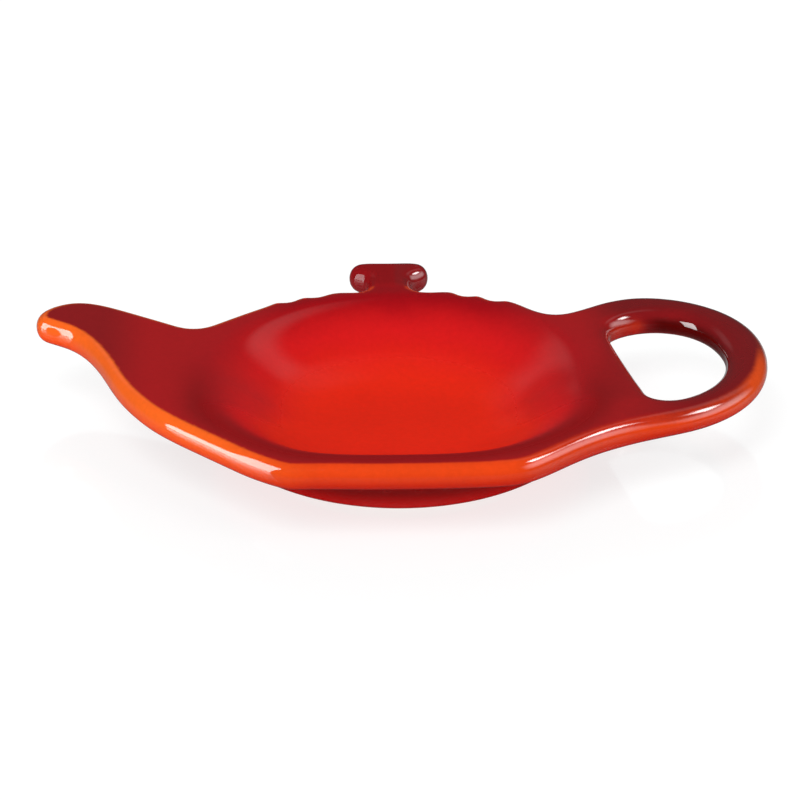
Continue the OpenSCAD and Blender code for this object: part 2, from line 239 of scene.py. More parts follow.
@dataclass(frozen=True)
class GlazeFinish:
    """Red glaze, thick and dark on the level faces and thin and orange where it ran off the edges, with
    painted light and painted shade laid into its colour.
    """

    floor: Colour = srgb("e6240c")
    slope: Colour = srgb("d8181a")
    crest: Colour = srgb("b2141a")
    # ring: painted shade along the crest's front half, where the rim turns down into the well
    ring: Colour = srgb("8c0c10")
    lid: Colour = srgb("a00612")
    level: Colour = srgb("b2161a")
    # bore: painted shade on the far inner wall of the finger hole
    pool: Colour = srgb("7a1418")
    bore_shade: Colour = srgb("560606")
    thin: Colour = srgb("ff6a20")
    # side and cool_side: the edges lower down, redder where the glaze ran thicker and darker with painted shade
    side: Colour = srgb("ff4a12")
    # cool_thin and cool_side: the edges on the right, redder and darker, partly painted shade on the side away
    # from the lamps
    cool_thin: Colour = srgb("e23a10")
    cool_side: Colour = srgb("c40c02")
    under: Colour = srgb("c80502")
    # crease: painted shade on the bowl just under the rim
    under_rim_shade: Colour = srgb("8a0101")
    slope_reach: Span = (0.45, 0.8)
    crest_reach: Span = (0.74, 0.98)
    rim_reach: Span = (0.98, 1.16)
    thin_share: Span = (0.2, 0.85)
    mottle_scale: float = 90.0
    mottle_shade: float = 0.14
    mottle_reach: float = 0.14
    mottle_thin: float = 0.16
    speckle_scale: float = 900.0
    speckle_shade: float = 0.16
    speckle_thin: float = 0.08
    speckle_roughness: float = 0.03
    ripple_scale: float = 220.0
    ripple: float = 0.05
    ripple_depth: float = 0.12 * MM
    roughness: float = 0.07
    soft_roughness: float = 0.25
    body_gloss: float = 0.2
    coat_roughness: float = 0.03

    def colour(self, graph: Graph, mottle: Wire, fine: Wire) -> Wire:
        """Joins the colours by the values of GlazeMap, which the mesh carries at its points.

        From the middle of the well to the rim the colour goes by reach. The dark ring of painted shade on the
        crest, the thin edge with painted light on the left and painted shade lower down, the painted shade on
        the finger hole's far wall and the underside, with painted shade under the rim, then lie over it in
        this order.

        Args:
            graph: The material's node tree.
            mottle: Broad noise about 0.
            fine: Fine noise about 0.

        Returns:
            The colour.
        """
        reach = graph.attribute("reach") + mottle * self.mottle_reach
        thin = (graph.attribute("thin") + mottle * self.mottle_thin + fine * self.speckle_thin).held()
        warmth_and_painted_light, lid = graph.attribute("warmth_and_painted_light"), graph.attribute("lid")
        rim = graph.blend(graph.attribute("pool"), graph.blend(lid, self.level, self.lid), self.pool)
        well = graph.blend(reach.eased(*self.slope_reach), self.floor, self.slope)
        well = graph.blend(reach.eased(*self.crest_reach), well, graph.blend(lid, self.crest, self.lid))
        top = graph.blend(reach.eased(*self.rim_reach), well, rim)
        # Painted shade: the dark ring along the front half of the crest.
        top = graph.blend(graph.attribute("ring"), top, self.ring)
        # The thin glaze's own orange goes with painted light: lighter and more orange on the left edges, darker
        # on the right.
        upper_edge = graph.blend(warmth_and_painted_light, self.cool_thin, self.thin)
        shaded_lower_edge = graph.blend(warmth_and_painted_light, self.cool_side, self.side)
        # Down each edge the colour turns redder and darker: partly glaze that ran thicker, partly painted shade
        # towards the bottom.
        edge = graph.blend(graph.attribute("edge_fall_and_shade"), upper_edge, shaded_lower_edge)
        colour = graph.blend(thin.eased(*self.thin_share), top, edge)
        # Painted shade on the finger hole's far inner wall.
        colour = graph.blend(graph.attribute("bore_shade"), colour, self.bore_shade)
        # Painted shade darkens the underside towards the rim.
        under = graph.blend(graph.attribute("under_rim_shade"), self.under, self.under_rim_shade)
        return graph.blend(graph.attribute("under"), colour, under)

    def make(self) -> bpy.types.Material:
        """Builds the glaze, a coloured body under a clear coat.

        Returns:
            The material.
        """
        graph = Graph(bpy.data.materials.new("red_glaze"))
        mottle = graph.noise(self.mottle_scale, 5.0) - 0.5
        fine = graph.noise(self.speckle_scale, 3.0) - 0.5
        shade = graph.node("ShaderNodeHueSaturation", sockets={
            "Value": 1.0 + fine * self.speckle_shade + mottle * self.mottle_shade,
            "Color": self.colour(graph, mottle, fine),
        })
        bump = graph.node("ShaderNodeBump", sockets={
            "Height": graph.noise(self.ripple_scale, 2.0),
            "Strength": self.ripple,
            "Distance": self.ripple_depth,
        })
        softness = graph.attribute("soft") * self.soft_roughness
        return graph.finish(graph.node("ShaderNodeBsdfPrincipled", sockets={
            "Base Color": shade,
            "Roughness": (self.roughness + fine * self.speckle_roughness + softness).held(),
            "Specular IOR Level": self.body_gloss,
            "Coat Weight": 1.0 - graph.attribute("dull"),
            "Coat Roughness": self.coat_roughness,
            "Normal": bump,
        }))


@dataclass(frozen=True)
class ClayFinish:
    """Bare fired clay, ground flat, with dark specks and a faint stain."""

    clay: Colour = srgb("d9c9ad")
    stain: Colour = srgb("b79a74")
    speck: Colour = srgb("7a6048")
    stain_share: Span = (0.42, 0.7)
    speck_share: Span = (0.66, 0.74)
    patch_scale: float = 160.0
    grain_scale: float = 2600.0
    grain: float = 0.4
    grain_depth: float = 0.1 * MM
    roughness: float = 0.82
    grain_roughness: float = 0.2

    def make(self) -> bpy.types.Material:
        """Builds the bare clay.

        Returns:
            The material.
        """
        graph = Graph(bpy.data.materials.new("bare_clay"))
        patches = graph.noise(self.patch_scale, 6.0)
        grain = graph.noise(self.grain_scale, 3.0)
        colour = graph.blend(patches.eased(*self.stain_share), self.clay, self.stain)
        colour = graph.blend(grain.eased(*self.speck_share), colour, self.speck)
        bump = graph.node("ShaderNodeBump", sockets={
            "Height": grain, "Strength": self.grain, "Distance": self.grain_depth,
        })
        return graph.finish(graph.node("ShaderNodeBsdfPrincipled", sockets={
            "Base Color": colour,
            "Roughness": (self.roughness + (grain - 0.5) * self.grain_roughness).held(),
            "Normal": bump,
        }))


@dataclass(frozen=True)
class FloorFinish:
    """White glossy table, which the camera sees as white away from the object."""

    white: Colour = (1.0, 1.0, 1.0)
    board: Colour = (0.225, 0.24, 0.24)
    glow: float = 0.78
    roughness: float = 0.09
    gloss: float = 0.25

    def make(self) -> bpy.types.Material:
        """Builds the table's white, a grey board that shows the shadow plus a glow that no glaze mirrors.

        Returns:
            The material.
        """
        graph = Graph(bpy.data.materials.new("white_table"))
        board = graph.node("ShaderNodeBsdfPrincipled", sockets={
            "Base Color": self.board, "Roughness": self.roughness, "Specular IOR Level": self.gloss,
        })
        mirrored = graph.node("ShaderNodeLightPath", output="Is Glossy Ray")
        glow = graph.node("ShaderNodeEmission", sockets={
            "Color": self.white, "Strength": (1.0 - mirrored) * self.glow,
        })
        return graph.finish(graph.node("ShaderNodeAddShader", sockets={0: board, 1: glow}))


def closed_curve(knots: np.ndarray, spacing: float) -> np.ndarray:
    """Runs a smooth closed curve through knots.

    The curve is the periodic cubic spline over the chord length: its second slopes M satisfy
    h0 M0 + 2 (h0 + h1) M1 + h1 M2 = 6 (slope after - slope before) at each knot. The curve is then
    resampled at even steps and blended with its own Gaussian-smoothed copies, by each knot's softness.

    Args:
        knots: Rows of x, y and softness, the length in millimetres over which the curve is smoothed.
        spacing: Distance between the points of the result.

    Returns:
        Rows of x and y.
    """
    after = np.roll(knots, -1, axis=0)
    step = np.hypot(*(after - knots)[:, :2].T)
    before = np.roll(step, 1)
    count = len(knots)
    index = np.arange(count)
    system = np.zeros((count, count))
    system[index, index] = 2.0 * (before + step)
    system[index, (index + 1) % count] = step
    system[index, (index - 1) % count] = before
    slope = (after - knots) / step[:, None]
    bend = np.linalg.solve(system, 6.0 * (slope - np.roll(slope, 1, axis=0)))
    bend_after = np.roll(bend, -1, axis=0)
    share = np.linspace(0.0, 1.0, PIECES_BETWEEN_KNOTS, endpoint=False)[None, :, None]
    h = step[:, None, None]
    start, stop = knots[:, None, :], after[:, None, :]
    m0, m1 = bend[:, None, :], bend_after[:, None, :]
    fine = (
        start * (1.0 - share) + stop * share
        - h * h / 6.0 * share * (1.0 - share) * ((2.0 - share) * m0 + (1.0 + share) * m1)
    ).reshape(-1, 3)
    linear = (knots[:, None, 2] * (1.0 - share[..., 0]) + after[:, None, 2] * share[..., 0]).reshape(-1)
    ring = np.vstack([fine, fine[:1]])
    length = np.concatenate([[0.0], np.cumsum(np.hypot(*np.diff(ring[:, :2], axis=0).T))])
    total = int(round(length[-1] / spacing))
    at = np.arange(total) * length[-1] / total
    points = np.stack([np.interp(at, length, ring[:, k]) for k in (0, 1)], axis=1)
    softness = np.interp(at, length, np.append(linear, linear[:1]))
    frequency = 2.0 * np.pi * np.fft.rfftfreq(total, length[-1] / total)[:, None]
    spectrum = np.fft.rfft(points, axis=0)
    smooth = np.stack([
        np.fft.irfft(spectrum * np.exp(-0.5 * (frequency * width) ** 2), total, axis=0)
        for width in SOFTNESS_LEVELS
    ])
    place = np.interp(softness, SOFTNESS_LEVELS, np.arange(len(SOFTNESS_LEVELS)))
    low = np.clip(place.astype(int), 0, len(SOFTNESS_LEVELS) - 2)
    part = (place - low)[:, None]
    every = np.arange(total)
    return smooth[low, every] * (1.0 - part) + smooth[low + 1, every] * part


def radius_of(points: np.ndarray) -> np.ndarray:
    """Gives the distance of each point from the well's middle, never quite 0, so that it can divide."""
    return np.maximum(np.hypot(*points.T), 1e-6)


def inward(loop: np.ndarray) -> np.ndarray:
    """Gives the unit normals to the left of a closed loop of points.

    Args:
        loop: Rows of x and y.

    Returns:
        A normal for each row.
    """
    along = np.roll(loop, -1, axis=0) - np.roll(loop, 1, axis=0)
    along /= np.hypot(*along.T)[:, None]
    return np.stack([-along[:, 1], along[:, 0]], axis=1)


def distance_to(loops: list[np.ndarray], points: np.ndarray) -> np.ndarray:
    """Gives the distance from each point to the nearest piece of the loops.

    A point's share along a piece from a to b is (p - a).(b - a) / |b - a|^2, held within 0 and 1.

    Args:
        loops: Closed loops of x and y.
        points: Rows of x and y.

    Returns:
        The distances.
    """
    nearest = np.full(len(points), np.inf)
    for loop in loops:
        start = loop.astype(np.float32)
        piece = np.roll(start, -1, axis=0) - start
        square = (piece ** 2).sum(1)
        for chunk in np.array_split(np.arange(len(points)), max(1, len(points) // POINTS_AT_ONCE)):
            gap = points[chunk, None, :].astype(np.float32) - start[None]
            share = np.clip((gap * piece).sum(2) / square, 0.0, 1.0)
            gap -= share[..., None] * piece
            nearest[chunk] = np.minimum(nearest[chunk], np.sqrt((gap ** 2).sum(2).min(1)))
    return nearest


def inside(loop: np.ndarray, points: np.ndarray) -> np.ndarray:
    """Tells which points lie inside a closed loop, by counting the pieces crossed on the way to the right.

    Args:
        loop: Rows of x and y.
        points: Rows of x and y.

    Returns:
        True for each point that crosses an odd number of pieces.
    """
    ax, ay = loop.T
    bx, by = np.roll(loop, -1, axis=0).T
    result = np.zeros(len(points), bool)
    for chunk in np.array_split(np.arange(len(points)), max(1, len(points) // POINTS_AT_ONCE)):
        px, py = points[chunk, 0, None], points[chunk, 1, None]
        spans = (ay > py) != (by > py)
        with np.errstate(divide="ignore", invalid="ignore"):
            crossing = ax + (py - ay) * (bx - ax) / (by - ay)
        result[chunk] = (spans & (px < crossing)).sum(1) % 2 == 1
    return result


@dataclass
class Casting:
    """The whole glazed casting: well, rim, spout, handle and knob in one skin, in millimetres."""

    rim_top: float = 17.3
    wall: float = 6.0
    edge_w: float = 2.8
    grip_edge_w: float = 4.3
    edge_power: float = 2.15
    floor_z: float = 5.8
    floor_r: float = 9.0
    cove_share: float = 1.5
    front_cove: float = 0.3
    well_r: float = 43.6
    round_share: float = 0.977
    front_bulge: float = 0.18
    crest_power: float = 12.0
    crest_sides: tuple[Span, ...] = ((270.0, 0.925), (223.0, 1.05), (311.5, 1.03), (180.0, 1.05), (0.0, 1.01))
    foot_r: float = 29.5
    foot_h: float = 2.0
    bowl_r: float = 41.5
    bowl_power: float = 1.92
    fillet: float = 1.2
    spout_start: float = -45.6
    spout_end: float = -78.2
    spout_rise: float = 2.1
    spout_power: float = 1.4
    handle_from: Span = (44.0, 60.0)
    spacing: float = 0.7
    cell: float = 0.8
    column_depth: float = 2.2
    column_steps: int = 9
    bowl_columns: int = 360
    bowl_rows: int = 22
    foot_rows: int = 24
    join_gaps: tuple[float, ...] = (0.0, 0.12, 0.4)

    def outer_knots(self) -> np.ndarray:
        """Gives the knots of the teapot's outline, anticlockwise.

        Returns:
            Rows of x, y and softness.
        """
        front = [
            (-23.9, -44.55, 0.3), (-20, -44.75, 1), (-11, -45, 3), (0, -45.15, 3), (11, -44.95, 3),
            (20, -44.4, 2), (25.2, -43.2, 1), (29, -40.7, 1), (33.3, -36.8, 2), (38.6, -31.7, 3),
            (44.3, -27.4, 3), (50.3, -24.2, 3),
        ]
        handle = [
            (56.8, -21.8, 3), (63.2, -18.9, 3), (69.1, -14.5, 3), (74, -8.6, 3), (77.6, -1, 3),
            (79.4, 8.5, 3), (79, 17.7, 3), (76.8, 25.4, 3), (72.8, 31.9, 3), (67.6, 36.6, 3),
            (61.3, 39.8, 3), (54.3, 40.9, 3), (47.6, 39.1, 3), (42, 35.5, 2), (38, 32.9, 1),
            (34.6, 31.8, 1), (31.4, 33.3, 1),
        ]
        lid_right = [
            (28.4, 36.3, 0.3), (26.2, 38.3, 0.3), (24.1, 39.2, 0.3), (21.7, 39.2, 0.3), (19.9, 40.8, 0.3),
            (17.8, 41.9, 0.3), (15.4, 41.8, 0.3), (13.7, 43.3, 0.3), (11.4, 44.2, 0.3), (8.2, 44.1, 0.3),
        ]
        knob = [
            (5.2, 44.7, 0.3), (4.1, 46.6, 0.3), (3.7, 49.2, 0.3), (4.1, 51.8, 0.3), (5.9, 53.3, 0.3),
            (7.2, 54.8, 0.3), (7.5, 56.8, 0.3), (6.5, 58.7, 0.3), (4.3, 59.6, 0.3), (1, 59.7, 0.3),
            (-3.4, 59.7, 0.3), (-6.7, 59.6, 0.3), (-8.8, 58.7, 0.3), (-9.8, 56.8, 0.3), (-9.5, 54.8, 0.3),
            (-8.2, 53.3, 0.3), (-6.4, 51.8, 0.3), (-6, 49.2, 0.3), (-6.4, 46.6, 0.3), (-7.5, 44.7, 0.3),
        ]
        lid_left = [
            (-10.4, 44.3, 0.3), (-13.2, 44.1, 0.3), (-15.6, 43, 0.3), (-17.4, 41.9, 0.3), (-19.9, 41.8, 0.3),
            (-22, 40.7, 0.3), (-23.6, 39.4, 0.3), (-26.1, 39.2, 0.3), (-28.4, 37.6, 0.3), (-31.6, 35, 1),
            (-36, 31.4, 2), (-40, 28, 1), (-42.6, 26.3, 1), (-45.4, 26.4, 1), (-49, 28.5, 2),
        ]
        spout = [
            (-54.6, 31.9, 3), (-59.8, 34.9, 3), (-65.2, 37.2, 2), (-70.4, 37, 1), (-74.7, 34.4, 1),
            (-77.4, 30.9, 0.3), (-78.1, 27.8, 0.3), (-77.2, 25.2, 0.3), (-75, 23.7, 1), (-71.6, 21.7, 1),
            (-67.9, 17.3, 2), (-64.9, 11, 3), (-62.6, 4, 3), (-60.3, -3.2, 3), (-57.1, -10, 3),
            (-53.2, -16.4, 3), (-47.6, -22.9, 3), (-42, -28.9, 3), (-36.5, -34.8, 2), (-33.2, -38.2, 2),
            (-29.6, -41.2, 1), (-26.3, -43.5, 0.5),
        ]
        return np.array(front + handle + lid_right + knob + lid_left + spout, float)

    def hole_knots(self) -> np.ndarray:
        """Gives the knots of the finger hole, clockwise, so that the clay is on their left too.

        Returns:
            Rows of x, y and softness.
        """
        return np.array([
            (52, -6.4, 1), (50.7, -1.5, 2), (49.4, 4, 3), (48.1, 9.5, 3), (46.9, 15, 3), (46, 19.8, 1),
            (46, 23.2, 1), (47.3, 26, 1), (50.2, 28.5, 1), (54.3, 29.9, 2), (58.9, 29.8, 3), (63.2, 27.6, 3),
            (66.8, 23.4, 3), (69.2, 17.7, 3), (70.5, 11, 3), (69.9, 4, 3), (67.3, -3, 3), (63, -8.2, 2),
            (58.8, -10.9, 1), (55.4, -11.2, 1), (53.1, -9.6, 1),
        ], float)

    def crest(self, points: np.ndarray) -> np.ndarray:
        """Gives the distance from the well's middle to its crest, in the direction of each point.

        The crest has straight sides in front and is round behind. In the direction u its radius is the
        p-norm blend (sum of (u.n / d)^p + (1 / round)^p)^(-1 / p) of a circle and of straight sides with
        normals n at distances d. Each of crest_sides holds a normal's direction in degrees and d over well_r.

        Args:
            points: Rows of x and y.

        Returns:
            The distances.
        """
        unit = points / radius_of(points)[:, None]
        round_r = self.well_r * (self.round_share + self.front_bulge * ease(0.0, 0.7, -unit[:, 1]))
        total = (1.0 / round_r) ** self.crest_power
        for angle, share in self.crest_sides:
            normal = np.array([math.cos(math.radians(angle)), math.sin(math.radians(angle))])
            total = total + (np.maximum(unit @ normal, 0.0) / (self.well_r * share)) ** self.crest_power
        return total ** (-1.0 / self.crest_power)

    def frontness(self, points: np.ndarray) -> np.ndarray:
        """Gives 0 behind and beside the well's middle and 1 straight in front of it."""
        return ease(0.0, 0.8, -points[:, 1] / radius_of(points))

    def well_reach(self, points: np.ndarray) -> np.ndarray:
        """Gives the share of the way from the well's middle to its crest."""
        return np.hypot(*points.T) / self.crest(points)

    def crown(self, points: np.ndarray, depth: np.ndarray) -> np.ndarray:
        """Gives the share of half the wall's thickness that the rounded edge leaves at a depth.

        It is (1 - (1 - t)^n)^(1 / n), where t is the depth over the edge's width, which grows on the handle
        until its section is round.

        Args:
            points: Rows of x and y.
            depth: Distance from the outline.

        Returns:
            0 on the outline and 1 on the level faces.
        """
        grip = ease(*self.handle_from, points[:, 0])
        width = self.edge_w + (self.grip_edge_w - self.edge_w) * grip
        t = np.clip(depth / width, 0.0, 1.0)
        return (1.0 - (1.0 - t) ** self.edge_power) ** (1.0 / self.edge_power)

    def middle(self, points: np.ndarray) -> np.ndarray:
        """Gives the height of the wall's middle, which rises along the spout by a power of the way."""
        way = np.clip((points[:, 0] - self.spout_start) / (self.spout_end - self.spout_start), 0.0, 1.0)
        return self.rim_top - self.wall / 2 + self.spout_rise * way ** self.spout_power

    def top(self, points: np.ndarray, depth: np.ndarray) -> np.ndarray:
        """Gives the height of the upper skin: the crowned wall less the depth of the well.

        The well is deepest in its flat middle. From there it rises by ease(t^cove), where t is the share of
        the way to the crest and cove makes it stay low for longer.

        Args:
            points: Rows of x and y.
            depth: Distance from the outline.

        Returns:
            The heights.
        """
        way = (np.hypot(*points.T) - self.floor_r) / (self.crest(points) - self.floor_r)
        cove = self.cove_share + self.front_cove * self.frontness(points)
        well = 1.0 - ease(0.0, 1.0, np.clip(way, 0.0, 1.0) ** cove)
        plate = self.middle(points) + self.wall / 2 * self.crown(points, depth)
        return plate - (self.rim_top - self.floor_z) * well

    def bottom(self, points: np.ndarray, depth: np.ndarray) -> np.ndarray:
        """Gives the height of the lower skin: the crowned wall less the drop of the bowl below it.

        The bowl is a superellipse from the foot to an upright wall, and a quarter-round fillet joins that
        wall to the underside of the rim.

        Args:
            points: Rows of x and y.
            depth: Distance from the outline.

        Returns:
            The heights.
        """
        radius = np.hypot(*points.T)
        under_z = self.rim_top - self.wall
        bowl = self.bowl_height(np.minimum(radius, self.bowl_r))
        beyond = np.clip(radius - self.bowl_r, 0.0, self.fillet)
        rise = np.sqrt(np.maximum(self.fillet ** 2 - (self.fillet - beyond) ** 2, 0.0))
        drop = under_z - bowl - rise
        return self.middle(points) - self.wall / 2 * self.crown(points, depth) - drop

    def bowl_height(self, radius: np.ndarray) -> np.ndarray:
        """Gives the height of the bowl's underside, (1 - (1 - t^n)^(1 / n)) of the way up from the foot.

        Args:
            radius: Distances from the middle, whose share of the way from the foot to the wall is t.

        Returns:
            The heights.
        """
        t = np.clip((radius - self.foot_r) / (self.bowl_r - self.foot_r), 0.0, 1.0)
        rise = self.rim_top - self.wall - self.fillet - self.foot_h
        return self.foot_h + rise * (1.0 - (1.0 - t ** self.bowl_power) ** (1.0 / self.bowl_power))

    def edge_band(self, loop: np.ndarray) -> tuple[np.ndarray, np.ndarray, np.ndarray]:
        """Sweeps the rounded edge along a loop of the outline.

        The rows lie at depths w (1 - cos a) inside the loop, with a from 0 to its largest value.

        Args:
            loop: Rows of x and y with the clay on their left.

        Returns:
            The points, the faces as quads, and the innermost loop.
        """
        widest = math.acos(1.0 - self.column_depth / self.edge_w)
        depths = self.edge_w * (1.0 - np.cos(np.linspace(0.0, widest, self.column_steps)))
        count = len(loop)
        place = loop[None] + inward(loop)[None] * depths[:, None, None]
        flat = place.reshape(-1, 2)
        deep = np.repeat(depths, count)
        upper = np.column_stack([flat, self.top(flat, deep)]).reshape(len(depths), count, 3)
        lower = np.column_stack([flat, self.bottom(flat, deep)]).reshape(len(depths), count, 3)
        rows = np.concatenate([upper[::-1], lower[1:]])
        return rows.reshape(-1, 3), grid_faces(len(rows), count), place[-1]

    def cells(self, loops: list[np.ndarray], clear: float, hollow: float) -> np.ndarray:
        """Fills the outline with a lattice of equal triangles' corners.

        Args:
            loops: The outline's loops.
            clear: Least distance from them.
            hollow: Radius about the middle that stays empty.

        Returns:
            Rows of x and y.
        """
        low, high = loops[0].min(0), loops[0].max(0)
        across = np.arange(low[0], high[0], self.cell)
        up = np.arange(low[1], high[1], self.cell * math.sqrt(0.75))
        x, y = np.meshgrid(across, up)
        x = x + self.cell / 2 * (np.arange(len(up)) % 2)[:, None]
        points = np.column_stack([x.ravel(), y.ravel()])
        keep = inside(loops[0], points) & ~inside(loops[1], points)
        keep &= np.hypot(*points.T) > hollow
        points = points[keep]
        return points[distance_to(loops, points) > clear]

    def fill(self, loops: list[np.ndarray], inner: list[np.ndarray], rings: list[np.ndarray],
             extra: np.ndarray) -> tuple[np.ndarray, np.ndarray]:
        """Joins loops and lattice points by triangles that cross none of the loops.

        Args:
            loops: The outline's loops.
            inner: The edge bands' innermost loops, which bound the result.
            rings: Further closed loops that stay whole. The first of them bounds a hollow.
            extra: Lattice points.

        Returns:
            Rows of x and y, and the triangles.
        """
        closed = inner + rings
        starts = np.cumsum([0] + [len(loop) for loop in closed])
        edges = np.concatenate([
            np.column_stack([start + np.arange(len(loop)), start + (np.arange(len(loop)) + 1) % len(loop)])
            for start, loop in zip(starts, closed)
        ])
        points = np.concatenate(closed + [extra])
        result = delaunay_2d_cdt([Vector(p) for p in points.tolist()], edges.tolist(), [], 0, 1e-6)
        place = np.array([tuple(v) for v in result[0]])
        faces = np.array(result[2])
        middle = place[faces].mean(1)
        keep = inside(inner[0], middle) & ~inside(inner[1], middle)
        if rings:
            keep &= ~inside(rings[0], middle)
        return place, faces[keep]

    def build(self) -> bpy.types.Object:
        """Builds the casting as one closed skin.

        Returns:
            The object.
        """
        loops = [closed_curve(knots, self.spacing) for knots in (self.outer_knots(), self.hole_knots())]
        skin = Skin()
        inner = []
        for loop in loops:
            points, faces, last = self.edge_band(loop)
            skin.add(points, faces)
            inner.append(last)
        clear = self.column_depth + self.cell * 0.55
        place, faces = self.fill(loops, inner, [], self.cells(loops, clear, 0.0))
        skin.add(np.column_stack([place, self.top(place, distance_to(loops, place))]), faces)

        angle = np.linspace(0.0, 2.0 * np.pi, self.bowl_columns, endpoint=False)
        ring = np.column_stack([np.cos(angle), np.sin(angle)])
        rings = [ring * (self.bowl_r + gap) for gap in self.join_gaps]
        place, faces = self.fill(loops, inner, rings, self.cells(loops, clear, self.bowl_r + 1.0))
        skin.add(np.column_stack([place, self.bottom(place, distance_to(loops, place))]), faces)
        quarter = np.sin(np.linspace(0.0, np.pi / 2, self.bowl_rows))
        radius = np.concatenate([
            np.linspace(0.02, 1.0, self.foot_rows)[:-1] * self.foot_r,
            self.foot_r + (self.bowl_r - self.foot_r) * quarter,
        ])
        flat = (ring[None] * radius[:, None, None]).reshape(-1, 2)
        height = np.repeat(self.bowl_height(radius), len(ring))
        skin.add(np.column_stack([flat, height]), grid_faces(len(radius), len(ring)))
        piece = skin.make("glazed_casting")
        self.mark(piece, loops)
        return piece

    def mark(self, piece: bpy.types.Object, loops: list[np.ndarray]) -> None:
        """Stores at each point what the glaze reads.

        Args:
            piece: The casting.
            loops: The outline's loops.
        """
        mesh = piece.data
        place = np.empty(len(mesh.vertices) * 3, np.float32)
        mesh.vertices.foreach_get("co", place)
        normal = np.empty(len(mesh.vertices) * 3, np.float32)
        mesh.vertex_normals.foreach_get("vector", normal)
        glaze = GlazeMap(self, place.reshape(-1, 3) / MM, normal.reshape(-1, 3)[:, 2], loops)
        for name, value in glaze.values().items():
            attribute = mesh.attributes.new(name, "FLOAT", "POINT")
            attribute.data.foreach_set("value", value.astype(np.float32))


